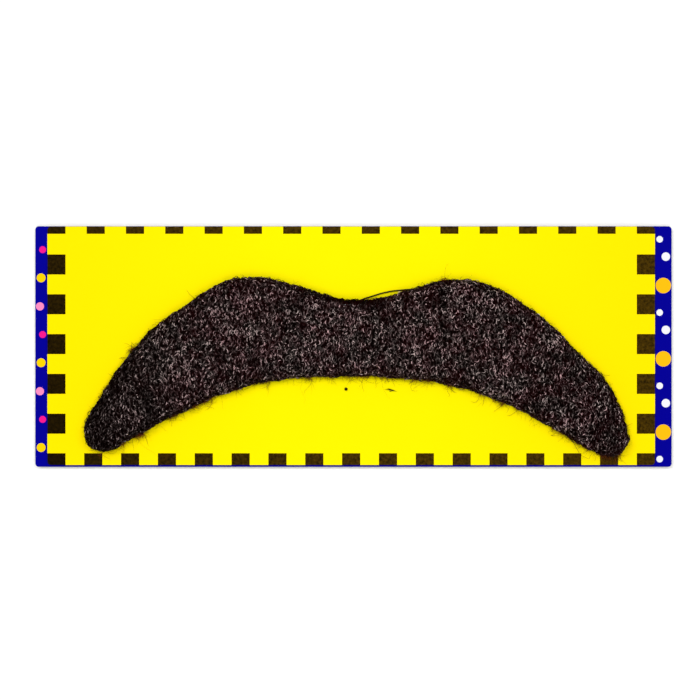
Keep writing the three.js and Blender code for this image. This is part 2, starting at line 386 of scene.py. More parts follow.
def new_object(name, vertices, triangles, material, slot, **attributes):
    """An object at the origin with a smooth mesh of the given triangles, riding on the part's body."""
    mesh = bpy.data.meshes.new(name)
    mesh.vertices.add(len(vertices))
    mesh.vertices.foreach_set("co", np.ascontiguousarray(vertices, np.float32).ravel())
    mesh.loops.add(triangles.size)
    mesh.loops.foreach_set("vertex_index", np.ascontiguousarray(triangles, np.int32).ravel())
    mesh.polygons.add(len(triangles))
    mesh.polygons.foreach_set("loop_start", np.arange(0, triangles.size, 3, dtype=np.int32))
    mesh.polygons.foreach_set("use_smooth", np.ones(len(triangles), bool))
    mesh.update(calc_edges=True)
    for attribute, values in attributes.items():
        layer = mesh.attributes.new(attribute, "FLOAT", "POINT")
        layer.data.foreach_set("value", np.ascontiguousarray(values, np.float32).ravel())
    mesh.materials.append(material)
    piece = bpy.data.objects.new(name, mesh)
    bpy.context.scene.collection.objects.link(piece)
    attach(piece, "root")
    return piece


def tube_triangles(here, first, last):
    """Triangles of a closed tube: two for each side from ring to ring, and a fan at both ends.

    Each row holds the numbers of a ring's vertices. First and last are the vertices that the ends close on.
    """
    there = np.roll(here, -1, axis=1)
    around = here.shape[1]
    return np.concatenate(
        [
            np.stack([np.full(around, first), there[0], here[0]], -1),
            np.stack([here[:-1], there[:-1], there[1:]], -1).reshape(-1, 3),
            np.stack([here[:-1], there[1:], here[1:]], -1).reshape(-1, 3),
            np.stack([here[-1], there[-1], np.full(around, last)], -1),
        ]
    )


def closed_loft(rings):
    """Vertices and triangles of a closed body through rings of equally many points.

    Each end is closed on the mean of its ring. Rings run anticlockwise as seen from ahead of the path.
    """
    count, around = rings.shape[:2]
    vertices = np.concatenate([rings.reshape(-1, 3), [rings[0].mean(0), rings[-1].mean(0)]])
    here = np.arange(count * around).reshape(count, around)
    return vertices, tube_triangles(here, count * around, count * around + 1)


def strands(paths, radii, sideways, around):
    """Vertices and triangles of many thin closed tubes at once.

    Round each inner point of a path lies a ring of the path's radius there, square to the path, and starting
    at the sideways direction. The tube comes to a point at both of its ends.
    """
    count, steps = paths.shape[:2]
    ahead = unit(np.gradient(paths, axis=1))[:, 1:-1]
    first = unit(sideways - ahead * np.sum(sideways * ahead, -1, keepdims=True))
    second = np.cross(ahead, first)
    turn = np.arange(around) * 2 * math.pi / around
    ring = first[:, :, None] * np.cos(turn)[:, None] + second[:, :, None] * np.sin(turn)[:, None]
    ring = paths[:, 1:-1, None] + ring * radii[:, 1:-1, None, None]
    inner = (steps - 2) * around
    vertices = np.concatenate([paths[:, :1], ring.reshape(count, inner, 3), paths[:, -1:]], 1)
    one = tube_triangles(1 + np.arange(inner).reshape(steps - 2, around), 0, inner + 1)
    start = np.arange(count)[:, None, None] * (inner + 2)
    return vertices.reshape(-1, 3), (one[None] + start).reshape(-1, 3)


def strand_object(name, paths, radii, sideways, shades, material, around=3):
    """One object of many strands, with their shades as an attribute.

    Radii and shades are given for each point of each path, or once for all of them. A path has one vertex at
    each end and a ring of them at each point between.
    """
    count, steps = paths.shape[:2]
    vertices, triangles = strands(paths, np.broadcast_to(radii, (count, steps)), sideways, around)
    on_points = [1] + [around] * (steps - 2) + [1]
    shades = np.repeat(np.broadcast_to(shades, (count, steps)), on_points, axis=1)
    return new_object(name, vertices, triangles, material, "black_pile", shade=shades)


def scatter(grid, count, rng):
    """Points spread evenly by area over a grid's faces, with what the grid gives for each.

    Each face gets its share of the count, and within a face a point lies at random between the four corners.
    """
    corners = [
        np.stack([values[:-1, :-1], values[1:, :-1], values[1:, 1:], values[:-1, 1:]], 2) for values in grid
    ]
    across = corners[0][:, :, 2] - corners[0][:, :, 0]
    area = np.linalg.norm(np.cross(across, corners[0][:, :, 3] - corners[0][:, :, 1]), axis=-1)
    total = np.cumsum(area.ravel()) / area.sum() * count
    number = np.diff(np.floor(total + rng.random()).astype(int), prepend=0)
    face = np.repeat(np.arange(area.size), number)
    down, right = rng.random((2, len(face), 1))
    weights = np.stack([(1 - down) * (1 - right), down * (1 - right), down * right, (1 - down) * right], 1)
    points, outward, from_rim = (
        (weights * values.reshape(area.size, 4, -1)[face]).sum(1) for values in corners
    )
    return points, unit(outward), from_rim[:, 0]


def close_over_staple(places, share, rng):
    """Adds roots on top of the staple's crown, so that the pile closes over its wire.

    Roots beside the wire move up to its top. The new ones are a share of all, spread evenly over the crown
    and a little beside it, and they count as well in from the rim.
    """
    points, outward, from_rim = places
    beside, margin, well_in = 0.45 * MM, 0.3 * MM, 3 * MM
    least_lift, most_lift = 0.02, 0.1
    near = from_crown(points) < beside
    points[near, 2] = np.maximum(points[near, 2], STAPLE_HIGH[2] + least_lift * MM)
    more = round(len(points) * share)
    added = rng.uniform(STAPLE_LOW - margin, STAPLE_HIGH + margin, (more, 3))
    added[:, 2] = STAPLE_HIGH[2] + rng.uniform(least_lift, most_lift, more) * MM
    return (
        np.concatenate([points, added]),
        np.concatenate([outward, np.tile(UP, (more, 1))]),
        np.concatenate([from_rim, np.full(more, well_in)]),
    )


# The lines that the staple has pulled the pile down along, where painted shade darkens it: over its crown, a
# crease from its right end, and the rim at both sides of the notch. Columns: millimetres right of the crown's
# middle and above it at one end and at the other, half the line's width, and how much of its light the pile
# loses to the painted shade.
PULLED_SHADE_LINES = (
    ((-7.4, 1.5), (6.5, 0.1), 1.6, 0.97),
    ((6.2, -0.6), (6.9, -4.8), 0.95, 0.9),
    ((-20.0, 4.9), (-7.4, 1.5), 1.2, 0.6),
    ((15.0, 4.6), (24.0, 6.0), 1.3, 0.55),
)


def pulled(plan):
    """From 0 to 1, how much light the pulled-down pile loses to painted shade: a bell curve of the distance
    to each line.
    """
    amount = np.zeros(len(plan))
    for start, end, width, painted_shade_loss in PULLED_SHADE_LINES:
        start, end = np.array([start, end]) * MM + STAPLE_MIDDLE[:2]
        run = end - start
        share = np.clip((plan - start) @ run / (run @ run), 0, 1)
        distance = np.linalg.norm(plan - start - share[:, None] * run, axis=-1)
        amount = np.maximum(amount, painted_shade_loss * bell(distance, width * MM))
    return amount


# In the functions of paths, what each strand has once lies in arrays of strands by 1 by 3 or by 1, and a path
# in one of strands by steps by 3.


def over_surface(along, outward, least_lean, most_lean, rng):
    """Three directions for each curl: along the surface, beside that one, and up through the curl's crown.

    The first is the given one laid flat on the surface. The last is the outward direction leaning over to one
    side or the other, by a random angle.
    """
    along = unit(along - outward * np.sum(along * outward, -1, keepdims=True))
    beside = np.cross(outward, along)
    each = (len(along), 1, 1)
    lean = rng.uniform(least_lean, most_lean, each) * rng.choice((-1, 1), each)
    return along, beside, outward * np.cos(lean) + beside * np.sin(lean)


def loop_paths(roots, outward, sizes, rng):
    """Paths of loops that lie nearly flat on the pile, most of them with their feet apart along Y.

    A loop is the arc of a circle, a little more than half of it, drawn out along its heading. Its plane leans
    from the outward direction down towards the surface. The arc's middle is its crown, and both of its feet
    sink into the pile by the fourth power of the share of the way there.
    """
    each = (len(roots), 1, 1)
    astray, lift, sink, raised = 0.22, 0.18 * MM, 0.22 * MM, 0.35
    heading = rng.normal(math.pi / 2, 0.45, each)
    heading = np.where(rng.random(each) < astray, rng.uniform(0, math.pi, each), heading)
    level = np.concatenate([np.cos(heading), np.sin(heading), np.zeros(each)], -1)
    along, _, up = over_surface(level, outward, 0.7, 1.45, rng)
    size = sizes.loop_size * rng.lognormal(0, 0.25, each)
    drawn_out = rng.uniform(0.8, 1.5, each)
    half_sweep = rng.uniform(1.2, 2.4, each)
    share = np.linspace(-1, 1, 7)[:, None]
    angle = share * half_sweep + rng.normal(0, 0.3, each)
    paths = (
        roots
        + outward * (lift - sink * share**4)
        + along * size * drawn_out * np.sin(angle)
        + up * size * (raised + np.cos(angle))
    )
    return paths, np.cross(along, up)


def curl_paths(roots, outward, sizes, rng):
    """Paths of deep curls, which stand on their roots like croquet hoops, leaning over to one side.

    Along a curl an angle runs from 0 to half a turn. Its cosine times the half span goes along the surface,
    its sine times the reach goes up and sideways by the lean, and the double angle's sine twists the hoop.
    """
    each = (len(roots), 1, 1)
    sink, twisted = 0.1 * MM, 0.12
    heading = rng.normal(math.pi / 2, 0.8, each)
    sloping = np.concatenate([np.cos(heading), np.sin(heading), rng.normal(0, 0.25, each)], -1)
    along, beside, up = over_surface(sloping, outward, 0.3, 1.35, rng)
    span = sizes.half_span * rng.lognormal(0, 0.28, each)
    reach = sizes.reach * rng.lognormal(0, 0.22, each)
    twist = twisted * reach * rng.normal(0, 1, each)
    angle = np.linspace(0, math.pi, 5)[:, None]
    paths = (
        roots
        - outward * sink
        - along * span * np.cos(angle)
        + up * reach * np.sin(angle)
        + beside * twist * np.sin(2 * angle)
    )
    return paths, np.cross(along, up)


def times(colour, factor):
    """A colour made darker or brighter."""
    return [value * factor for value in colour]


class Nodes:
    """Builds a material's node tree from sums and comparisons."""

    def __init__(self, name):
        self.material = bpy.data.materials.new(name)
        self.material.use_nodes = True
        self.tree = self.material.node_tree
        self.shader = self.tree.nodes["Principled BSDF"]
        self.place = self.add("ShaderNodeTexCoord").outputs["Object"]

    def add(self, kind, **settings):
        """A new node with the given settings."""
        node = self.tree.nodes.new(kind)
        for key, value in settings.items():
            setattr(node, key, value)
        return node

    def plug(self, socket, value):
        """Links an output to an input socket, or gives the socket a number or a colour."""
        if isinstance(value, bpy.types.NodeSocket):
            self.tree.links.new(value, socket)
        elif socket.type == "RGBA":
            socket.default_value = (*value, 1.0)
        else:
            socket.default_value = value

    def surface(self, colour, roughness, specular):
        """Gives the shader its colour, roughness and specular level, and gives back the material."""
        self.plug(self.shader.inputs["Base Color"], colour)
        self.plug(self.shader.inputs["Roughness"], roughness)
        self.plug(self.shader.inputs["Specular IOR Level"], specular)
        return self.material

    def shade(self):
        """The mesh's own attribute that says how light a strand is, painted highlights, painted shade and
        painted backlight included.
        """
        return self.add("ShaderNodeAttribute", attribute_name="shade").outputs["Fac"]

    def math(self, operation, a, b=0.0):
        """An operation on one number or two."""
        node = self.add("ShaderNodeMath", operation=operation)
        self.plug(node.inputs[0], a)
        self.plug(node.inputs[1], b)
        return node.outputs[0]

    def product(self, first, *others):
        """All the numbers multiplied."""
        for other in others:
            first = self.math("MULTIPLY", first, other)
        return first

    def axes(self):
        """X, Y and Z of the shaded point, in metres."""
        return self.add_linked("ShaderNodeSeparateXYZ", self.place).outputs

    def add_linked(self, kind, value):
        """A new node whose first input is the given one."""
        node = self.add(kind)
        self.plug(node.inputs[0], value)
        return node

    def noise(self, size, detail=3.0, roughness=0.55, stretch=(1, 1, 1)):
        """Noise from 0 to 1, whose patches are about the given size."""
        mapping = self.add_linked("ShaderNodeMapping", self.place)
        mapping.inputs["Scale"].default_value = [value / size for value in stretch]
        node = self.add_linked("ShaderNodeTexNoise", mapping.outputs[0])
        node.inputs["Scale"].default_value = 1.0
        node.inputs["Detail"].default_value = detail
        node.inputs["Roughness"].default_value = roughness
        return node.outputs["Fac"]

    def fade(self, value, low, high, to_low=0.0, to_high=1.0):
        """The value's place between low and high, taken over to another range."""
        node = self.add_linked("ShaderNodeMapRange", value)
        for name, number in zip(("From Min", "From Max", "To Min", "To Max"), (low, high, to_low, to_high)):
            node.inputs[name].default_value = number
        return node.outputs[0]

    def blend(self, share, a, b, kind="RGBA"):
        """One colour going over to another, or one number if the kind is FLOAT."""
        node = self.add("ShaderNodeMix", data_type=kind)
        for name, value in zip(("Factor", "A", "B"), (share, a, b)):
            self.plug(node.inputs[name], value)
        return node.outputs["Result"]

    def bump(self, height, distance, strength=1.0):
        """Low relief of the given depth."""
        node = self.add("ShaderNodeBump")
        node.inputs["Distance"].default_value = distance
        node.inputs["Strength"].default_value = strength
        self.plug(node.inputs["Height"], height)
        self.plug(self.shader.inputs["Normal"], node.outputs[0])

    def within(self, value, low, high):
        """1 between two numbers and 0 outside them."""
        return self.product(self.math("GREATER_THAN", value, low), self.math("LESS_THAN", value, high))

    def within_pitch(self, value, first, pitch):
        """Share of the way from the last of many places, a pitch apart, to the next."""
        return self.math("FRACT", self.math("DIVIDE", self.math("SUBTRACT", value, first), pitch))

    def repeats(self, value, first, pitch, width):
        """1 on bars of the given width, a pitch apart, one of which starts at first."""
        return self.math("LESS_THAN", self.within_pitch(value, first, pitch), width / pitch)


def pile_material(name, sizes, gloss):
    """Synthetic pile: each strand has a shade of its own, with painted shade darkening its feet against its
    crown, and some gloss.

    Patches of it blush, and fade away towards the left end. The light and blush colours are painted
    highlights of the shiniest strands.
    """
    nodes = Nodes(name)
    left_end = MOUSTACHE_LOW[0]
    patches = nodes.fade(nodes.noise(4 * MM, roughness=0.65), 0.38, 0.62)
    from_left = nodes.fade(nodes.axes()[0], left_end + 5 * MM, left_end + 30 * MM, 0.1, 1.05)
    patches = nodes.product(patches, from_left)
    # light holds the painted highlight colour, dark the strands' own near-black.
    light = nodes.blend(patches, sizes.light, sizes.blush)
    dark = nodes.blend(patches, sizes.dark, sizes.dark_blush)
    return nodes.surface(nodes.blend(nodes.shade(), dark, light), 0.45, gloss)


def ground_material(name, sizes):
    """The dark body under the curls, with fine lint-like grain."""
    nodes = Nodes(name)
    grain = nodes.noise(0.3 * MM)
    nodes.bump(grain, 0.15 * MM)
    return nodes.surface(nodes.blend(grain, times(sizes.ground, 0.4), sizes.ground), 0.9, 0.01)


def fibre_material(name, sizes):
    """Thin loose fibre, nearly black at the rim and browner the further it stands out, in patches: the brown
    is painted backlight, as the real fibres are black.
    """
    nodes = Nodes(name)
    tone = nodes.fade(nodes.noise(1.5 * MM), 0.35, 0.65, 0.25, 1.0)
    return nodes.surface(nodes.blend(nodes.product(nodes.shade(), tone), sizes.root, sizes.tip), 0.5, 0.1)


def card_material(nodes, printed, top, board):
    """A card's print on its top face, and bare board at its cut edges and behind, which is rougher."""
    on_print = nodes.math("GREATER_THAN", nodes.axes()[2], top - 0.03 * MM)
    pulp = nodes.noise(0.25 * MM, stretch=(1, 1, 4))
    bare = nodes.blend(pulp, times(board, 0.86), board)
    sheen = nodes.fade(nodes.noise(6 * MM), 0.3, 0.7, 0.34, 0.44)
    nodes.bump(nodes.noise(0.4 * MM, detail=4.0), 0.02 * MM, 0.5)
    return nodes.surface(
        nodes.blend(on_print, bare, printed), nodes.blend(on_print, 0.85, sheen, "FLOAT"), 0.015
    )


def border(nodes, settings):
    """1 on the border's squares: a row along the top and the bottom, and a column at each end."""
    x, y, _ = nodes.axes()
    width, height = settings.square_width, settings.side_square_height
    left, right = FRONT_LOW[0], FRONT_HIGH[0]
    run = right - width - left
    top_steps, bottom_steps, side_steps = 15, 16, 4
    side_pitch = 10.31 * MM
    side_first = FRONT_LOW[1] + 8.1 * MM
    top = nodes.product(
        nodes.repeats(x, left, run / top_steps, width),
        nodes.math("GREATER_THAN", y, FRONT_HIGH[1] - settings.top_row_height),
    )
    bottom = nodes.product(
        nodes.repeats(x, left, run / bottom_steps, width),
        nodes.math("LESS_THAN", y, FRONT_LOW[1] + settings.bottom_row_height),
    )
    sides = nodes.product(
        nodes.math("MAXIMUM", nodes.within(x, left, left + width), nodes.within(x, right - width, right)),
        nodes.within(y, side_first, side_first + side_steps * side_pitch + height),
        nodes.repeats(y, side_first, side_pitch, height),
    )
    return nodes.math("MAXIMUM", nodes.math("MAXIMUM", top, bottom), sides)


def border_ink(nodes, settings):
    """The squares' ink, thin in specks: darkest at the lower left corner and in the left column."""
    x, y, _ = nodes.axes()
    slant, spread = 0.6, 75 * MM
    corner = FRONT_LOW[0] + slant * FRONT_LOW[1]
    inside = FRONT_LOW[0] + settings.square_width
    specks = nodes.fade(nodes.noise(0.8 * MM, detail=5.0, roughness=0.7), 0.35, 0.65, 0.3, 1.7)
    from_corner = nodes.math("ADD", x, nodes.product(y, slant))
    from_corner = nodes.fade(from_corner, corner, corner + spread, 0.33, 1.0)
    from_column = nodes.fade(x, inside, inside + 0.5 * settings.square_width, 0.6, 1.0)
    thin = nodes.fade(nodes.product(specks, nodes.product(from_corner, from_column)), 0.0, 2.0)
    return nodes.blend(thin, (0.0, 0.0, 0.0), times(settings.squares, 2))


def front_print(settings):
    """Yellow card with a border of dark squares, deepening in painted shade towards its ends."""
    nodes = Nodes("yellow_print")
    yellow = nodes.blend(nodes.noise(20 * MM), settings.yellow, times(settings.yellow, 0.97))
    # Painted shade: the card's yellow deepens towards both ends, where less light falls.
    painted_end_shade = nodes.fade(nodes.math("ABSOLUTE", nodes.axes()[0]), 20 * MM, 75 * MM)
    yellow = nodes.blend(painted_end_shade, yellow, settings.end_shaded_yellow)
    printed = nodes.blend(border(nodes, settings), yellow, border_ink(nodes, settings))
    return card_material(nodes, printed, FRONT_HIGH[2], settings.board)


def dots(nodes, x, y, column, first, pitch, radius):
    """1 on round dots, a pitch apart in a column: wherever the nearest dot's middle is within the radius."""
    along = nodes.math("SUBTRACT", nodes.within_pitch(y, first - pitch / 2, pitch), 0.5)
    along = nodes.product(along, pitch)
    across = nodes.math("SUBTRACT", x, column)
    apart = nodes.math("ADD", nodes.product(along, along), nodes.product(across, across))
    return nodes.math("LESS_THAN", apart, radius**2)


# Dots on what shows of the blue card. Columns: at the left end or not, millimetres out from the front card's
# edge, millimetres up from the card's lower edge to the first dot, millimetres between dots, radius in
# millimetres, and colour.
CONFETTI = (
    (True, 1.7, 5.0, 22.0, 1.15, (0.95, 0.62, 0.0)),
    (True, 1.3, 12.3, 22.0, 0.9, (0.85, 0.01, 0.25)),
    (True, 2.0, 19.6, 22.0, 1.05, (0.95, 0.25, 0.5)),
    (False, 2.25, 9.0, 19.0, 2.0, (0.98, 0.5, 0.005)),
    (False, 2.9, 16.5, 19.0, 1.1, (0.85, 0.85, 0.9)),
    (False, 1.3, 21.0, 19.0, 0.85, (0.85, 0.85, 0.9)),
)


def back_print(settings):
    """Blue card whose two ends carry round dots of plain colours; behind it is bare board."""
    nodes = Nodes("blue_print")
    x, y, _ = nodes.axes()
    colour = nodes.blend(nodes.noise(12 * MM), settings.blue, times(settings.blue, 0.85))
    for at_left, out, first, pitch, radius, paint in CONFETTI:
        column = FRONT_LOW[0] - out * MM if at_left else FRONT_HIGH[0] + out * MM
        on_dot = dots(nodes, x, y, column, BACK_LOW[1] + first * MM, pitch * MM, radius * MM)
        colour = nodes.blend(on_dot, colour, paint)
    return card_material(nodes, colour, BACK_HIGH[2], settings.board)


def steel_material():
    """Bright wire with fine drawing marks along it."""
    nodes = Nodes("staple_steel")
    marks = nodes.noise(0.12 * MM, stretch=(0.1, 1, 1))
    nodes.plug(nodes.shader.inputs["Metallic"], 1.0)
    steel = nodes.blend(marks, (0.5, 0.51, 0.53), (0.72, 0.73, 0.75))
    return nodes.surface(steel, nodes.fade(marks, 0.2, 0.8, 0.25, 0.4), 0.5)


def repaint(node, material):
    """Gives a CAD node its material."""
    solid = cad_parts[node]
    solid.data.materials.clear()
    solid.data.materials.append(material)


class MOUSTACHE_OT_ground(Operator):
    """Make the dark body that the pile stands on"""

    bl_idname = "moustache.ground"
    bl_label = "Ground Body"

    def execute(self, context):
        form = context.scene.moustache_form
        points, _, _ = ground_grid(form)
        vertices, triangles = closed_loft(points[:, ::-1])
        material = ground_material("pile_ground", context.scene.pile_curls)
        piece = new_object("moustache_ground", vertices, triangles, material, "black_pile")
        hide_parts("moustache")
        return {"FINISHED"}


def pile_shade(roots, from_rim, form):
    """How light the pile is from place to place, the same for both layers of it.

    The exponential of two smooth fields, one as wide as the lumps and one wider, is darkened by painted shade
    where the pile rolls over at the rim and where the staple pulls it down: bell curves at the rim and along
    those lines, and an exponential of the way in from the rim. It is darkened too by a bell curve at the left
    end and an exponential of the way in from the right end.
    """
    plan = roots[:, :2]
    seed, wide_patch = 5, 14 * MM
    rim, behind_rim, left_end, right_end = 0.6 * MM, 2.5 * MM, 23 * MM, 45 * MM
    patches = 0.5 * lumps(plan, form.lump_width, seed) + 0.28 * lumps(plan, wide_patch, seed + 1)
    # Painted shade where the pile rolls over at the rim.
    painted_light_at_rim = (1 - 0.75 * bell(from_rim, rim)) * (1 - 0.15 * np.exp(-from_rim / behind_rim))
    at_left_end = 1 - 0.75 * bell(plan[:, 0] - MOUSTACHE_LOW[0], left_end)
    at_right_end = 1 - 0.5 * np.exp(-(MOUSTACHE_HIGH[0] - plan[:, 0]) / right_end)
    # Painted shade along the lines that the staple pulls down: 1 - pulled(plan).
    return (np.exp(patches) * painted_light_at_rim * (1 - pulled(plan)) * at_left_end * at_right_end)[:, None]


def pile_pieces(kind, roots, paths, sideways, radii, shades, material):
    """Makes the pile's objects, one for each stretch of the moustache."""
    place = (roots[:, 0] - MOUSTACHE_LOW[0]) / (MOUSTACHE_HIGH[0] - MOUSTACHE_LOW[0])
    stretch = np.searchsorted([end for _, end in PILE_STRETCHES[:-1]], place)
    for number, (name, _) in enumerate(PILE_STRETCHES):
        here = stretch == number
        piece = strand_object(
            f"{kind}_{name}", paths[here], radii[here], sideways[here], shades[here], material
        )
        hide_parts("moustache")


class MOUSTACHE_OT_deep_pile(Operator):
    """Cover the ground body with dull curls, in stretches from left to right"""

    bl_idname = "moustache.deep_pile"
    bl_label = "Deep Pile"

    def execute(self, context):
        form, sizes = context.scene.moustache_form, context.scene.pile_curls
        rng = np.random.default_rng(sizes.seed)
        places = scatter(ground_grid(form), sizes.deep_count, rng)
        roots, outward, from_rim = close_over_staple(places, share=0.012, rng=rng)
        paths, sideways = curl_paths(roots[:, None], outward[:, None], sizes, rng)
        each = (len(roots), 1)
        tone = rng.lognormal(-5.8, 0.9, each) * pile_shade(roots, from_rim, form)
        radii = sizes.deep_radius * rng.lognormal(0, 0.2, each) * (0, 0.85, 1, 0.85, 0)
        # Painted shade at each curl's feet, lighter towards its crown; pile_shade adds painted shade at the
        # rim and along the staple's lines.
        shades = np.clip(tone * (0.1, 0.6, 1, 0.6, 0.1), 0, 1)
        material = pile_material("deep_pile", sizes, gloss=0.005)
        pile_pieces("deep", roots, paths, sideways, radii, shades, material)
        return {"FINISHED"}


class MOUSTACHE_OT_loops(Operator):
    """Lay the loops, with painted highlights on their crowns, on top of the pile, in stretches from left to
    right
    """

    bl_idname = "moustache.loops"
    bl_label = "Loops"

    def execute(self, context):
        form, sizes = context.scene.moustache_form, context.scene.pile_curls
        rng = np.random.default_rng(sizes.seed + 1)
        places = scatter(ground_grid(form), sizes.loop_count, rng)
        roots, outward, from_rim = close_over_staple(places, share=0.006, rng=rng)
        paths, sideways = loop_paths(roots[:, None], outward[:, None], sizes, rng)
        each = (len(roots), 1)
        tone = rng.lognormal(-1.45, 1.2, each) * pile_shade(roots, from_rim, form)
        share = np.linspace(-1, 1, paths.shape[1])
        radii = sizes.loop_radius * rng.lognormal(0, 0.18, each) * np.sqrt(1 - share**6)
        # Painted highlight on each loop's crown, falling off to painted shade at its feet.
        shades = np.clip(tone * bell(share, 0.42), 0, 1)
        material = pile_material("loops_painted_highlights", sizes, gloss=0.02)
        pile_pieces("loops", roots, paths, sideways, radii, shades, material)
        return {"FINISHED"}


# Where loose fibres gather on the lower rim and on the upper one. Columns: share of the moustache's length,
# and how many times the usual number come on top.
LOWER_TANGLES = (
    (0.11, 1.5),
    (0.23, 3.0),
    (0.34, 1.4),
    (0.43, 2.4),
    (0.51, 3.0),
    (0.58, 2.4),
    (0.73, 3.2),
    (0.87, 2.2),
)
UPPER_TANGLES = (
    (0.13, 2.0),
    (0.2, 3.0),
    (0.62, 2.0),
    (0.71, 2.0),
    (0.955, 4.0),
)

# Columns: side of the moustache, its tangles, how thick the fibres stand there, and their length beside the
# usual one.
RIMS = (
    (-1.0, LOWER_TANGLES, 0.85, 1.05),
    (1.0, UPPER_TANGLES, 0.3, 0.7),
)


def rim_roots(form, count, rng):
    """Places on the ground body's rim for loose fibres, with their outward directions and shares of length.

    They are drawn from many places along both rims. The chance of a place is the rim's length there, times
    the rim's own number, times bell curves at the tangles, times the exponential of a smooth field for tufts.
    """
    tangle, tuft, clear_of_tips = 0.022, 2.2 * MM, 0.02
    rows = np.linspace(clear_of_tips, LAST_ROW - clear_of_tips, 3000)
    places = []
    for side, tangles, usual, share in RIMS:
        rim, _ = moustache_plan(rows, side, form, inset=form.curl_depth, waves=1.0)
        ahead = np.gradient(rim, axis=0)
        rim = rim + moustache_offset(form)
        centres, strengths = np.array(tangles).T
        gathered = 1 + (bell((rows / LAST_ROW)[:, None] - centres, tangle) * strengths).sum(1)
        weight = usual * gathered * np.exp(1.8 * lumps(rim, tuft, seed=9))
        chance = np.linalg.norm(ahead, axis=1) * weight
        places.append((chance, rim, unit(turned_left(ahead) * side), np.full((len(rim), 1), share)))
    chance, *places = (np.concatenate(column) for column in zip(*places))
    picked = rng.choice(len(chance), count, p=chance / chance.sum())
    return [values[picked][:, None] for values in places]


def fibre_paths(roots, outward, length, rng):
    """Paths of loose fibres from the rim down to the card.

    In plan a fibre sets out at a random angle to the outward direction and goes on as the arc of a circle,
    with part of a sine wave across it. Its height falls as the square of the share that is still to go.
    """
    each = (len(roots), 1, 1)
    straight, clear = 1e-3, 0.06 * MM
    swing = rng.normal(0, 0.9, each)
    ahead = outward * np.cos(swing) + turned_left(outward) * np.sin(swing)
    length = length * rng.lognormal(0, 0.6, each)
    bend = rng.normal(0, 2.6, each)
    divisor = np.where(np.abs(bend) < straight, straight, bend)
    wave = rng.normal(0, 0.12, each)
    share = np.linspace(0, 1, 6)[:, None]
    forward = np.sin(bend * share) / divisor
    sideward = (1 - np.cos(bend * share)) / divisor + wave * np.sin(5 * share)
    flat = roots + (ahead * forward + turned_left(ahead) * sideward) * length
    root_height = rng.uniform(0.3, 2.2, each) * MM
    rest_height = rng.uniform(0.05, 0.9, each) * MM
    height = MOUSTACHE_LOW[2] + rest_height + (root_height - rest_height) * (1 - share) ** 2
    return np.concatenate([flat, np.maximum(height, FRONT_HIGH[2] + clear)], -1)


class MOUSTACHE_OT_fibres(Operator):
    """Make the loose fibres that stand out round the rim"""

    bl_idname = "moustache.fibres"
    bl_label = "Loose Fibres"

    def execute(self, context):
        form, sizes = context.scene.moustache_form, context.scene.loose_fibres
        rng = np.random.default_rng(sizes.seed)
        roots, outward, share = rim_roots(form, sizes.count, rng)
        paths = fibre_paths(roots, outward, sizes.length * share, rng)
        radii = sizes.radius * rng.lognormal(0, 0.45, (sizes.count, 1)) * np.linspace(1, 0.5, paths.shape[1])
        # Painted backlight: fibres grow browner the further they stand out from the rim, standing in for
        # light through them against the bright card.
        stands_out = np.sum((paths[..., :2] - roots) * outward, -1)
        painted_light_at_rim, full_backlight_reach = 0.15, 0.7 * MM
        painted_backlight = np.clip(painted_light_at_rim + (1 - painted_light_at_rim) * stands_out / full_backlight_reach, 0, 1)
        material = fibre_material("loose_fibre", sizes)
        strand_object("rim_fibres", paths, radii, UP, painted_backlight, material)
        return {"FINISHED"}


# The stray thread, from the pile left of the notch's middle to the pile right of it. Columns: millimetres
# right of the staple's middle, up the card from its crown, and off the front card.
THREAD = (
    (-1.6, -0.4, 1.6),
    (0.3, 0.9, 1.1),
    (1.9, 1.65, 0.6),
    (4.2, 2.36, 0.35),
    (6.5, 3.08, 0.25),
    (9.1, 3.63, 0.25),
    (11.8, 3.94, 0.3),
    (14.5, 4.14, 0.5),
    (16.3, 4.15, 1.3),
    (18.0, 3.9, 2.2),
)


class MOUSTACHE_OT_thread(Operator):
    """Lay the stray thread across the notch"""

    bl_idname = "moustache.thread"
    bl_label = "Stray Thread"

    def execute(self, context):
        sizes = context.scene.loose_fibres
        points = np.array(THREAD) * MM + (*STAPLE_MIDDLE[:2], FRONT_HIGH[2])
        path, _ = through_points(points, np.linspace(0, len(points) - 1, 60))
        material = fibre_material("thread", sizes)
        strand_object("stray_thread", path[None], sizes.thread_radius, UP, 0.0, material, around=8)
        return {"FINISHED"}


def lint_ball(rng):
    """Paths of a ball of fluff: nearly whole circles about one middle, each with its tilt, pressed flat."""
    middle = np.array([-1.92 * MM, -11.0 * MM, FRONT_HIGH[2] + 0.3 * MM])
    radius, flatness, fibres = 0.35 * MM, 0.6, 14
    tilt, phase = rng.uniform(0, math.pi, (2, fibres, 1))
    angle = np.linspace(0, 6, 12) + phase
    rise = np.sin(angle)
    circles = np.stack([np.cos(angle), rise * np.cos(tilt), rise * np.sin(tilt) * flatness], -1)
    return middle + circles * radius


def lint_fleck(rng):
    """Paths of a fleck of lint: fibres of all lengths side by side, bowed sideways and up as parabolas."""
    middle = np.array([9.6 * MM, -11.35 * MM, FRONT_HIGH[2] + 0.1 * MM])
    fibres = 9
    share = np.linspace(-1, 1, 9)
    slope = rng.normal(-0.2, 0.14, (fibres, 1))
    length = np.geomspace(0.35, 1.8, fibres)[:, None] * MM
    bow = rng.normal(0, 0.12, (fibres, 1)) * MM * (1 - share**2)
    start = rng.normal(0, 0.1, (fibres, 2)) * MM
    x = start[:, :1] + length * share * np.cos(slope)
    y = start[:, 1:] + length * share * np.sin(slope) + bow
    return middle + np.stack([x, y, np.abs(bow)], -1)


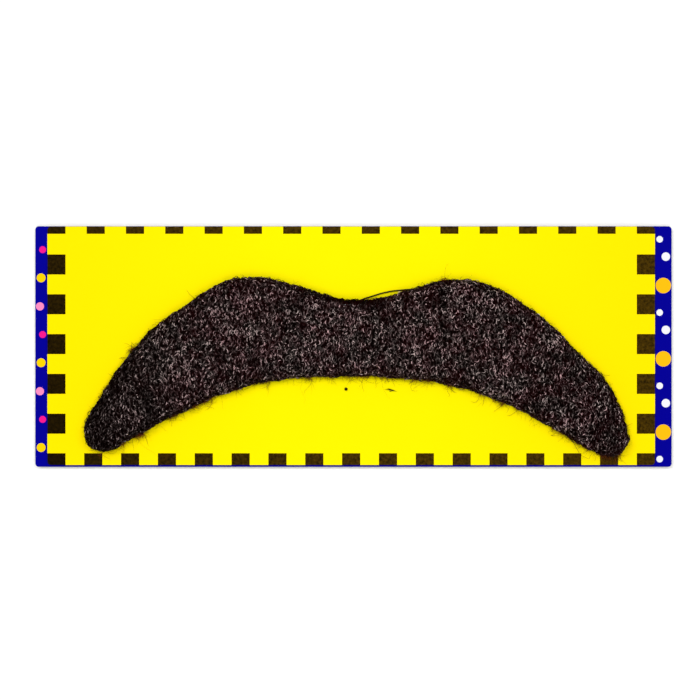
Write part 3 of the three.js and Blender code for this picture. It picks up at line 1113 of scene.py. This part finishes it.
class MOUSTACHE_OT_lint(Operator):
    """Drop two specks of lint on the card under the moustache's middle"""

    bl_idname = "moustache.lint"
    bl_label = "Lint"

    def execute(self, context):
        sizes = context.scene.loose_fibres
        rng = np.random.default_rng(sizes.seed + 1)
        material = fibre_material("lint", sizes)
        slanting = np.array([0.3, 0.2, 1.0])
        strand_object("lint_ball", lint_ball(rng), 0.07 * MM, slanting, 0.0, material)
        fleck = lint_fleck(rng)
        radii = np.geomspace(0.08, 0.03, len(fleck))[:, None] * MM
        # The fleck's shade of 0.1 gives it a little of the fibres' painted backlight.
        strand_object("lint_fleck", fleck, radii, UP, 0.1, material)
        return {"FINISHED"}


class MOUSTACHE_OT_cards(Operator):
    """Print both cards"""

    bl_idname = "moustache.cards"
    bl_label = "Printed Cards"

    def execute(self, context):
        repaint("front_card", front_print(context.scene.card_print))
        repaint("back_card", back_print(context.scene.card_print))
        return {"FINISHED"}


class MOUSTACHE_OT_staple(Operator):
    """Give the staple its steel"""

    bl_idname = "moustache.staple"
    bl_label = "Staple"

    def execute(self, context):
        repaint("staple", steel_material())
        return {"FINISHED"}


def area_light(name, place, size, power):
    """A square lamp that shines on the frame's origin."""
    lamp = bpy.data.lights.new(name, "AREA")
    lamp.size = size
    lamp.energy = power
    light = bpy.data.objects.new(name, lamp)
    light.location = place
    light.rotation_euler = (-light.location).to_track_quat("-Z", "Y").to_euler()
    bpy.context.scene.collection.objects.link(light)


class MOUSTACHE_OT_stage(Operator):
    """Set the floor, the lights and the camera"""

    bl_idname = "moustache.stage"
    bl_label = "Stage"

    def execute(self, context):
        scene, settings = context.scene, context.scene.stage_settings
        reach = 1.5
        corners = [(-reach, -reach, 0), (reach, -reach, 0), (reach, reach, 0), (-reach, reach, 0)]
        mesh = bpy.data.meshes.new("floor")
        mesh.from_pydata(corners, [], [(0, 1, 2, 3)])
        mesh.materials.append(Nodes("pale_floor").surface(settings.floor, 0.8, 0.2))
        floor = bpy.data.objects.new("floor", mesh)
        scene.collection.objects.link(floor)
        area_light("key_light", (-0.8, 0.76, 1.44), 0.8, settings.key_power)
        area_light("right_light", (0.84, 0.6, 1.5), 1.0, settings.fill_power)
        area_light("low_light", (0.1, -1.0, 1.5), 1.0, settings.fill_power)
        world = bpy.data.worlds.new("studio")
        world.use_nodes = True
        background = world.node_tree.nodes["Background"]
        background.inputs["Color"].default_value = (1.0, 1.0, 1.0, 1.0)
        background.inputs["Strength"].default_value = settings.sky
        scene.world = world
        scene.view_settings.view_transform = "Standard"
        lens = bpy.data.cameras.new("camera")
        lens.lens = settings.lens
        lens.sensor_width = 36.0
        camera = bpy.data.objects.new("camera", lens)
        distance = settings.view_width * settings.lens / lens.sensor_width
        camera.location = (settings.aim_x, settings.aim_y, FRONT_HIGH[2] + distance)
        scene.collection.objects.link(camera)
        scene.camera = camera
        return {"FINISHED"}


class MOUSTACHE_PT_panel(Panel):
    """Lists the pieces of the carded moustache"""

    bl_idname = "MOUSTACHE_PT_panel"
    bl_label = "Carded Moustache"
    bl_space_type = "VIEW_3D"
    bl_region_type = "UI"
    bl_category = "Moustache"

    def draw(self, context):
        for operator in OPERATORS:
            self.layout.operator(operator.bl_idname)


OPERATORS = (
    MOUSTACHE_OT_cards,
    MOUSTACHE_OT_staple,
    MOUSTACHE_OT_ground,
    MOUSTACHE_OT_deep_pile,
    MOUSTACHE_OT_loops,
    MOUSTACHE_OT_fibres,
    MOUSTACHE_OT_thread,
    MOUSTACHE_OT_lint,
    MOUSTACHE_OT_stage,
)
GROUPS = {
    "moustache_form": MoustacheForm,
    "pile_curls": PileCurls,
    "loose_fibres": LooseFibres,
    "card_print": CardPrint,
    "stage_settings": StageSettings,
}


def register():
    """Registers every class, and gives scenes the groups of properties."""
    for cls in (*GROUPS.values(), *OPERATORS, MOUSTACHE_PT_panel):
        bpy.utils.register_class(cls)
    for name, group in GROUPS.items():
        setattr(bpy.types.Scene, name, PointerProperty(type=group))


def unregister():
    """Takes back what register does."""
    for name in GROUPS:
        delattr(bpy.types.Scene, name)
    for cls in (MOUSTACHE_PT_panel, *reversed(OPERATORS), *GROUPS.values()):
        bpy.utils.unregister_class(cls)


def main():
    """Dresses the frame."""
    register()
    bpy.ops.moustache.cards()
    bpy.ops.moustache.staple()
    bpy.ops.moustache.ground()
    bpy.ops.moustache.deep_pile()
    bpy.ops.moustache.loops()
    bpy.ops.moustache.fibres()
    bpy.ops.moustache.thread()
    bpy.ops.moustache.lint()
    bpy.ops.moustache.stage()


if __name__ == "__main__":
    main()
